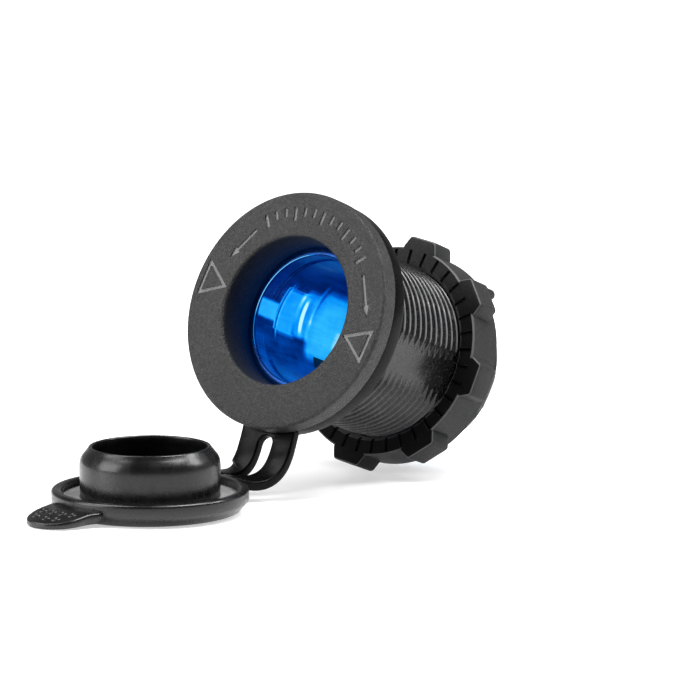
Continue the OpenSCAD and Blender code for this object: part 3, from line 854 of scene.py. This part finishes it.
def build_receptacle():
    turn = FINE_TURN
    clocks = [360 * k / turn for k in range(turn)]
    rows = [[polar(MOUTH_R - 0.25, SHELL_START + SHELL_WALL, c) for c in clocks]]
    rows += lathe_rows([(MOUTH_R - 0.25, SHELL_START + 0.12), (MOUTH_R - 0.37, SHELL_START)], turn)
    rows += lathe_rows(arc((SHELL_R + 0.35, SHELL_START + 0.35), 0.35, 270, 180, 5), turn)
    y = SHELL_START + 0.6
    while y < SHELL_FLOOR - SHELL_CORNER - 0.1:
        rows.append([polar(shell_inside(y, c), y, c) for c in clocks])
        y += SHELL_FINE_STEP if y < SHELL_FINE_UNTIL else SHELL_STEP
    corner = arc((SHELL_R - SHELL_CORNER, SHELL_FLOOR - SHELL_CORNER), SHELL_CORNER, 0, 90, 10)
    rows += lathe_rows(corner + [(6.0, SHELL_FLOOR), (FLOOR_HOLE_R, SHELL_FLOOR)], turn)
    rows += lathe_rows([(FLOOR_HOLE_R, SHELL_FLOOR + SHELL_WALL), (8.2, SHELL_FLOOR + SHELL_WALL)], turn)
    outer = arc((SHELL_R - SHELL_CORNER, SHELL_FLOOR - SHELL_CORNER), SHELL_CORNER + SHELL_WALL, 90, 0, 8)
    rows += lathe_rows(outer, turn)
    rows += lathe_rows([(SHELL_R + SHELL_WALL, SHELL_START + SHELL_WALL)], turn)
    shell = skin("receptacle", rows, close_rows=True, sharp=50)
    outline = block(WINDOW_W / 2, SHELL_R + WINDOW_CUT[0], SHELL_R + WINDOW_CUT[1])
    window = add_prism_object("window", outline, turned(WINDOW_CLOCK, WINDOW_AT), WINDOW_LEN)
    boolean(shell, window, "DIFFERENCE")
    shade(shell.data, 50)
    return shell


# The ring nut

def build_nut():
    """The eight-lugged nut with its grooves, and a stub on the back of one lug."""
    chamfer, edge = 0.75, 0.25
    profile = [
        (NUT_BORE_R, NUT_AT + NUT_LEN - 0.3), (NUT_BORE_R, NUT_AT + chamfer), (NUT_BORE_R + chamfer, NUT_AT),
        (NUT_R - edge, NUT_AT), (NUT_R, NUT_AT + edge), (NUT_R, NUT_AT + NUT_LEN - edge),
        (NUT_R - edge, NUT_AT + NUT_LEN), (NUT_BORE_R + 0.3, NUT_AT + NUT_LEN),
    ]
    nut = skin("nut_moulding", lathe_rows(profile), close_rows=True)
    lugs = bmesh.new()
    outline = [
        (-LUG_ROOT / 2, NUT_R - 1), (LUG_ROOT / 2, NUT_R - 1), (LUG_ROOT / 2, NUT_R - 0.05),
        (LUG_TIP / 2, LUG_R), (-LUG_TIP / 2, LUG_R), (-LUG_ROOT / 2, NUT_R - 0.05),
    ]
    for i in range(LUGS):
        prism(lugs, outline, turned(LUG_CLOCK + i * 360 / LUGS, NUT_AT), LUG_LEN)
    lug_set = from_bmesh("lugs", lugs)
    bevel(lug_set, LUG_BEVEL, 4, 30)
    boolean(nut, lug_set, "UNION")
    stub = bmesh.new()
    angles = [math.pi * i / 12 for i in range(24)]
    round_end = [(STUB_HALF * math.cos(a), NUT_R + STUB_ABOVE + STUB_RISE * math.sin(a)) for a in angles]
    place = turned(LUG_CLOCK + 360 / LUGS - STUB_TURN, NUT_AT + LUG_LEN - STUB_OVERLAP)
    prism(stub, round_end, place, STUB_LEN)
    boolean(nut, from_bmesh("stub", stub), "UNION")
    grooves = bmesh.new()
    slot = block(GROOVE_W / 2, BARREL_R - 0.3, NUT_R - 0.4)
    for i in range(GROOVES):
        place = turned(LUG_CLOCK + (i + 0.5) * 360 / GROOVES, NUT_AT - CUT_PAST)
        prism(grooves, slot, place, GROOVE_DEEP + CUT_PAST)
    boolean(nut, from_bmesh("grooves", grooves), "DIFFERENCE")
    shade(nut.data, 32)
    return nut


# The rubber ring, strap and cap

def build_ring():
    inner, half, gap = BARREL_R + 0.15, 0.25, 0.02
    profile = [(inner, FLANGE_T + RING_T - gap), (inner, FLANGE_T + gap), (RING_R - half, FLANGE_T + gap)]
    profile += arc((RING_R - half, FLANGE_T + half), half, -90, 0, 4)
    profile += arc((RING_R - half, FLANGE_T + RING_T - half), half, 0, 90, 4)
    return skin("rubber_ring", lathe_rows(profile), close_rows=True, sharp=50)


def strap_route():
    """Points down the strap's middle, from inside the ring to inside the dish's rim."""
    table_way = cap_point(0, 1, 0) - cap_point(0, 0, 0)
    end = cap_point(0.1, CAP_R - CAP_RIM_W / 2, 1.8 + STRAP_T / 2)
    points = [Vector(p) for p in STRAP_POINTS] + [end + table_way * STRAP_PULL, end]
    route = []
    for i in range(ROUTE_STEPS + 1):
        t = i / ROUTE_STEPS
        row = points
        while len(row) > 1:
            row = [a.lerp(b, t) for a, b in zip(row, row[1:])]
        route.append(row[0])
    return route


def build_strap():
    """A flat moulding with its slot, bent along the route."""
    route = strap_route()
    run = [0.0]
    for a, b in zip(route, route[1:]):
        run.append(run[-1] + (b - a).length)
    total = run[-1]
    slot_from, slot_to = SLOT_FROM_RING, total - SLOT_FROM_CAP
    bm = bmesh.new()
    prism(bm, block(STRAP_W / 2, 0, total), lambda u, v, d: Vector((u, v, d)), STRAP_T)
    plate = from_bmesh("rubber_strap", bm)
    half = SLOT_W / 2
    ends = [(half * math.cos(a), slot_to - half - half * 1.2 * -math.sin(a))
            for a in [math.pi * i / 12 for i in range(13)]]
    ends += [(half * math.cos(a), slot_from + half + half * math.sin(a))
             for a in [math.pi + math.pi * i / 12 for i in range(13)]]
    slot = add_prism_object("strap_slot", ends, lambda u, v, d: Vector((u, v, d - 1)), STRAP_T + 2)
    boolean(plate, slot, "DIFFERENCE")
    bevel(plate, 0.28, 3, 40)
    bm = bmesh.new()
    bm.from_mesh(plate.data)
    for i in range(1, STRAP_STEPS):
        geometry = bm.verts[:] + bm.edges[:] + bm.faces[:]
        cut_at = (0, total * i / STRAP_STEPS * MM, 0)
        bmesh.ops.bisect_plane(bm, geom=geometry, plane_co=cut_at, plane_no=(0, 1, 0))
    for v in bm.verts:
        v.co = strap_place(v.co / MM, route, run) * MM
    bmesh.ops.triangulate(bm, faces=bm.faces)
    bm.to_mesh(plate.data)
    bm.free()
    shade(plate.data, 40)
    return plate


def strap_place(p, route, run):
    """Where a point of the flat strap lies on its bent route."""
    s = min(max(p.y, 0.0), run[-1] - 1e-6)
    i = max(k for k in range(len(run) - 1) if run[k] <= s)
    f = (s - run[i]) / (run[i + 1] - run[i])
    spot = route[i].lerp(route[i + 1], f)

    def way_at(k):
        lo, hi = max(0, k - 2), min(len(route) - 1, k + 2)
        return (route[hi] - route[lo]).normalized()

    way = way_at(i).lerp(way_at(i + 1), f).normalized()
    across = Vector((1, 0.018, 0)).lerp(Vector((1, 0, 0)), s / run[-1]).normalized()
    out = way.cross(across).normalized()
    side = out.cross(way).normalized()
    return spot + side * p.x + out * (p.z - STRAP_T / 2)


def cap_rows(profile):
    rows = []
    angles = [2 * math.pi * k / TURN for k in range(TURN)]
    for r, z in profile:
        rows.append([cap_point(r * math.cos(a), r * math.sin(a), z) for a in angles])
    return rows


def cap_profile():
    """Dish and plug as one closed outline, from the middle of the floor's top to its underside."""
    side, tip = PLUG_R, PLUG_TIP_R
    inside = [(0.02, CAP_FLOOR), (4.0, CAP_FLOOR), (side - PLUG_WALL - 0.8, CAP_FLOOR)]
    inside += [(side - PLUG_WALL - 0.15, CAP_FLOOR + 0.4), (side - PLUG_WALL, CAP_FLOOR + 1.2)]
    inside += [(side - PLUG_WALL, 4.5), (side - PLUG_WALL, 6.6), (side - PLUG_WALL - 0.1, 7.6)]
    inside += [(tip - 0.42, PLUG_H - 1.3), (tip - 0.5, PLUG_H - 0.8), (tip - 0.5, PLUG_H - 0.25)]
    lip = arc((tip - 0.25, PLUG_H - 0.25), 0.25, 180, 90, 4)[1:]
    lip += arc((tip - 0.15, PLUG_H - 0.25), 0.25, 80, 20, 4)
    bulge = [(side - 0.95, PLUG_H - 0.75), (side - 0.45, PLUG_H - 1.35)]
    bulge += [(side - 0.15, 8.05), (side - 0.03, 7.5)]
    bulge += [(side, 6.9), (side, 5.6), (side - 0.02, 4.6), (side - 0.05, 3.6), (side - 0.08, 2.9)]
    foot = [(side - 0.08, CHANNEL_Z + 0.3), (side, CHANNEL_Z + 0.08), (side + 0.2, CHANNEL_Z)]
    rim_in = CAP_R - CAP_RIM_W
    channel = [(12.6, CHANNEL_Z), (rim_in - 0.15, CHANNEL_Z), (rim_in, CHANNEL_Z + 0.15)]
    rim = [(rim_in, CAP_H - 0.45)]
    rim += arc((rim_in + 0.45, CAP_H - 0.45), 0.45, 180, 90, 5)
    rim += arc((CAP_R - 0.5, CAP_H - 0.5), 0.5, 90, 0, 5)
    wall = [(CAP_R, 2.4), (CAP_R, 1.72), (CAP_R - 0.1, 1.48), (CAP_R - 1.35, 0.1), (CAP_R - 1.6, 0.0)]
    return inside + lip + bulge + foot + channel + rim + wall + [(7.0, 0.0), (0.02, 0.0)]


def tab_place(along, across, share):
    """A point of the drooping pull tab: along it, across it, and a share of its thickness."""
    a = math.radians(TAB_TURN)
    x, y = across, -along
    s = smooth_step((along - CAP_R) / (TAB_REACH - CAP_R))
    top = TAB_TOP + (TAB_TIP_TOP - TAB_TOP) * s
    under = TAB_UNDER + (TAB_TIP_UNDER - TAB_UNDER) * s
    side, ahead = x * math.cos(a) + y * math.sin(a), -x * math.sin(a) + y * math.cos(a)
    return cap_point(side, ahead, under + (top - under) * share)


def build_tab():
    """The tongue-shaped pull tab with its rounded end."""
    rows = []
    centre = TAB_REACH - TAB_R
    for i in range(TAB_STEPS + 1):
        along = TAB_ROOT + (TAB_REACH - 0.02 - TAB_ROOT) * math.sin(math.pi / 2 * i / TAB_STEPS)
        half = TAB_R if along <= centre else math.sqrt(max(0.0, TAB_R ** 2 - (along - centre) ** 2))
        flare = 0.5 * smooth_step((17.0 - along) / 2.5)
        soft = min(0.3, half)
        ring = []
        for share, pull in ((0.0, soft), (0.18, 0.08), (0.4, 0.0), (0.75, 0.0), (0.92, 0.1), (1.0, soft)):
            ring.append((half + flare - pull, share))
        loop = ring + [(-u, v) for u, v in reversed(ring)]
        rows.append([tab_place(along, u, v) for u, v in loop])
    bm = bmesh.new()
    verts = [[bm.verts.new(p) for p in row] for row in rows]
    for low, high in zip(verts, verts[1:]):
        band(bm, low, high)
    bm.faces.new(verts[0])
    bm.faces.new(list(reversed(verts[-1])))
    return from_bmesh("cap_tab", bm)


def nib(bm, x, y):
    """A small ring-edged grip nib on the tab, whose profile is radius and height above the tab."""
    a = math.radians(TAB_TURN)
    along, across = -(x * math.sin(a) + y * math.cos(a)), x * math.cos(a) - y * math.sin(a)
    profile = [(0.8, -0.06), (0.76, 0.1), (0.66, 0.15), (0.52, 0.14), (0.4, 0.02), (0.02, -0.02)]
    up = cap_point(0, 0, 1) - cap_point(0, 0, 0)
    angles = [2 * math.pi * k / NIB_TURN for k in range(NIB_TURN)]
    rows = []
    for r, h in profile:
        places = [tab_place(along + r * math.cos(t), across + r * math.sin(t), 1.0) for t in angles]
        rows.append([bm.verts.new(place + up * h) for place in places])
    for low, high in zip(rows, rows[1:]):
        band(bm, low, high)


def build_cap():
    """Dish, plug and tab as one moulding, with the ends of its outline closed at the middle."""
    cap = skin("rubber_cap", cap_rows(cap_profile()))
    bm = bmesh.new()
    bm.from_mesh(cap.data)
    for ends in (slice(None, TURN), slice(-TURN, None)):
        ring = bm.verts[ends]
        bmesh.ops.pointmerge(bm, verts=ring, merge_co=sum((v.co for v in ring), Vector()) / TURN)
        bm.verts.ensure_lookup_table()
    bmesh.ops.recalc_face_normals(bm, faces=bm.faces)
    bm.to_mesh(cap.data)
    bm.free()
    boolean(cap, build_tab(), "UNION")
    shade(cap.data, 45)
    return cap


def build_nibs():
    bm = bmesh.new()
    for x, y in NIBS:
        nib(bm, x, y)
    return from_bmesh("cap_nibs", bm)


# The scene round the object

def table_plane():
    """A point of the table and its upward direction: it touches the dish's front and the lowest lug."""
    front = cap_point(0, 1.6 - CAP_R, 0)
    heel = Vector((front.x, at(NUT_AT + LUG_LEN), -math.hypot(LUG_R, LUG_TIP / 2)))
    slope = math.atan2(heel.z - front.z, heel.y - front.y)
    return front, Vector((0, -math.sin(slope), math.cos(slope)))


def build_floor():
    """The white table: it shows shadows near the object, fades to full white and is clear from below."""
    point, up = table_plane()
    bm = bmesh.new()
    bmesh.ops.create_circle(bm, cap_ends=True, segments=96, radius=TABLE_R)
    mesh = bpy.data.meshes.new("floor")
    bm.to_mesh(mesh)
    bm.free()
    floor = link("floor", mesh)
    stand(floor, point - up * 0.03, up)
    n = Nodes("white_table")
    spread = n.noise(60, 2.0, 0.5)
    n.set(Base_Color=TABLE_WHITE, Roughness=n.remap(spread, 0.3, 0.7, 0.24, 0.3))
    n.set(Emission_Color=(1, 1, 1, 1))
    n.shine(0.4)
    path = n.tree.nodes.new("ShaderNodeLightPath")
    seen = n.math("MAXIMUM", path.outputs["Is Camera Ray"], path.outputs["Is Glossy Ray"])
    away = n.vector("LENGTH", n.place)
    level = n.remap(away.outputs["Value"], *TABLE_GLOW, FLOOR_LIFT, 1.0)
    n.set(Emission_Strength=n.both(seen, level))
    clear = n.tree.nodes.new("ShaderNodeBsdfTransparent")
    behind = n.tree.nodes.new("ShaderNodeNewGeometry")
    mix = n.tree.nodes.new("ShaderNodeMixShader")
    out = n.tree.nodes["Material Output"]
    n.tree.links.new(behind.outputs["Backfacing"], mix.inputs[0])
    n.tree.links.new(n.shader.outputs[0], mix.inputs[1])
    n.tree.links.new(clear.outputs[0], mix.inputs[2])
    n.tree.links.new(mix.outputs[0], out.inputs["Surface"])
    floor.data.materials.append(n.material)


def build_world():
    """A white surround: full white to the eye, brighter near the horizon in reflections, low elsewhere."""
    world = bpy.data.worlds.new("studio")
    bpy.context.scene.world = world
    world.use_nodes = True
    tree = world.node_tree
    tree.nodes.clear()

    def add(kind, operation=None):
        node = tree.nodes.new(kind)
        if operation:
            node.operation = operation
        return node

    out = add("ShaderNodeOutputWorld")
    light = add("ShaderNodeBackground")
    place = add("ShaderNodeTexCoord")
    dot = add("ShaderNodeVectorMath", "DOT_PRODUCT")
    dot.inputs[1].default_value = table_plane()[1]
    tree.links.new(place.outputs["Generated"], dot.inputs[0])
    horizon = add("ShaderNodeMapRange")
    horizon.inputs["From Min"].default_value = HORIZON[0]
    horizon.inputs["From Max"].default_value = HORIZON[1]
    horizon.inputs["To Min"].default_value = HORIZON_LIGHT
    horizon.inputs["To Max"].default_value = EVEN_LIGHT
    tree.links.new(dot.outputs["Value"], horizon.inputs["Value"])
    path = add("ShaderNodeLightPath")
    level = add("ShaderNodeMix")
    level.inputs[2].default_value = EVEN_LIGHT
    tree.links.new(path.outputs["Is Glossy Ray"], level.inputs[0])
    tree.links.new(horizon.outputs["Result"], level.inputs[3])
    tree.links.new(level.outputs[0], light.inputs["Strength"])
    white = add("ShaderNodeBackground")
    white.inputs["Color"].default_value = (1, 1, 1, 1)
    light.inputs["Color"].default_value = (1, 1, 1, 1)
    seen = add("ShaderNodeMath", "MAXIMUM")
    tree.links.new(path.outputs["Is Camera Ray"], seen.inputs[0])
    tree.links.new(path.outputs["Is Transmission Ray"], seen.inputs[1])
    mix = add("ShaderNodeMixShader")
    tree.links.new(seen.outputs[0], mix.inputs[0])
    tree.links.new(light.outputs[0], mix.inputs[1])
    tree.links.new(white.outputs[0], mix.inputs[2])
    tree.links.new(mix.outputs[0], out.inputs["Surface"])


def build_lamp(name, right, height, toward, size, power):
    """A square soft lamp, placed from the camera's right, the table's height and toward the camera, in mm."""
    point, up = table_plane()
    back = (CAMERA_BACK - up * CAMERA_BACK.dot(up)).normalized()
    side = up.cross(back).normalized()
    spot = LAMP_TARGET + side * right + up * height + back * toward
    data = bpy.data.lights.new(name, "AREA")
    data.shape = "RECTANGLE"
    data.size = size[0] * MM
    data.size_y = size[1] * MM
    data.energy = power
    stand(link(name, data), spot, spot - LAMP_TARGET)


def build_camera():
    data = bpy.data.cameras.new("camera")
    data.sensor_width = SENSOR_MM
    data.lens = SENSOR_MM * FOCAL_PIXELS / IMAGE_SIZE
    data.clip_start = 0.01
    data.clip_end = 20
    camera = link("camera", data)
    z = CAMERA_BACK.normalized()
    y = (CAMERA_UP - z * CAMERA_UP.dot(z)).normalized()
    x = y.cross(z)
    turn = Matrix((x, y, z)).transposed().to_4x4()
    camera.matrix_world = Matrix.Translation(CAMERA_AT * MM) @ turn
    bpy.context.scene.camera = camera


# Putting it together

build_camera()
build_floor()
build_world()
for lamp in LAMPS:
    build_lamp(*lamp)
bpy.context.scene.view_settings.view_transform = "Standard"

nylon = body_nylon("grained_nylon")
satin_nylon = nut_nylon("satin_nylon")
rubber = soft_rubber("soft_rubber", painted_channel_reflection=True)
dull_rubber = soft_rubber("dull_rubber", 0.003, 0.07)
lit = lit_metal("lit_receptacle")
tin = plated_metal("tinned_brass", (0.62, 0.62, 0.61), 0.3)
zinc = plated_metal("zinc_steel", (0.66, 0.67, 0.69), 0.34, 2200)
brass = plated_metal("turned_brass", (0.78, 0.58, 0.27), 0.28, 2600)
wire_tin = plated_metal("wire_tin", (0.7, 0.7, 0.7), 0.3, 3200)

dress(build_body(), nylon, "socket", ["socket_body"])
dress(build_receptacle(), lit, "socket", ["contact_shell"])
dress(build_nut(), satin_nylon, "ring_nut", ["ring_nut"])
dress(build_ring(), dull_rubber, "socket", ["tether_ring"])
dress(build_cap(), rubber, "cap", ["cap"])
dress(build_nibs(), rubber, "cap")
strap = dress(build_strap(), dull_rubber, None, ["tether_strap"])
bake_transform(strap)

CAD_LOOKS = {
    "contact_insulator": pressed_fibre("pressed_fibre"),
    "centre_contact": brass,
    "rear_plate": laminate("rear_board"),
    "positive_blade": tin,
    "negative_blade": tin,
    "negative_rivet": zinc,
    "spring_washer": zinc,
    "hex_nut": zinc,
    "lamp": lamp_lens("lamp_lens"),
    "lamp_resistor": resistor_coat("resistor_coat"),
    "lamp_lead": wire_tin,
}
for node, material in CAD_LOOKS.items():
    paint(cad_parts[node], material)
